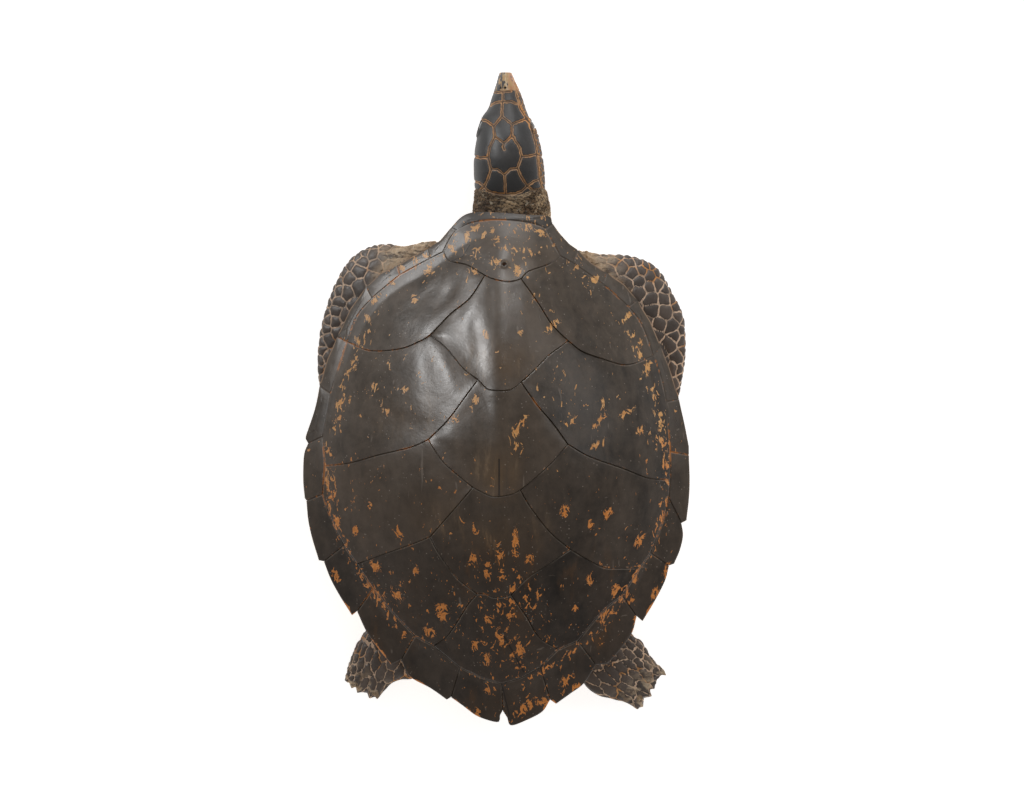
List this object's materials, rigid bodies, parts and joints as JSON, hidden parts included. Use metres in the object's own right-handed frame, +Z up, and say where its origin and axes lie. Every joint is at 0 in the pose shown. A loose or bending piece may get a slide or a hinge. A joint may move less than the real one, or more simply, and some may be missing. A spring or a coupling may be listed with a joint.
{
  "type": "preserved sea turtle specimen",
  "caption": "Preserved hawksbill-type sea turtle resting on its belly: domed overlapping-scute shell, serrated rear edge, hooked beak, folded flippers.",
  "frame": {"origin": "on the flat underside of the belly plate, at the middle of the carapace's width and length as drawn on the plan", "axes": "+Y towards the head, +Z up out of the shell's dome, +X to the turtle's right"},
  "size_m": [0.465, 0.786, 0.1778],
  "materials": {
    "scute": "polished dark brown horn scutes with amber flecks",
    "belly": "cream to amber horn, satin",
    "scales": "dark grey-brown scales with tan seams, dry satin",
    "skin": "dry wrinkled tan-brown skin",
    "horn": "streaked tan beak horn",
    "eye": "dark polished glass eye"
  },
  "bodies": {
    "root": {"carapace": "scute", "plastron": "belly", "head": "scales", "lower_jaw": "horn", "eye_left": "eye", "eye_right": "eye", "neck": "skin", "front_flipper_left": "scales", "front_flipper_right": "scales", "hind_flipper_left": "scales", "hind_flipper_right": "scales", "tail": "skin"}
  },
  "joints": []
}
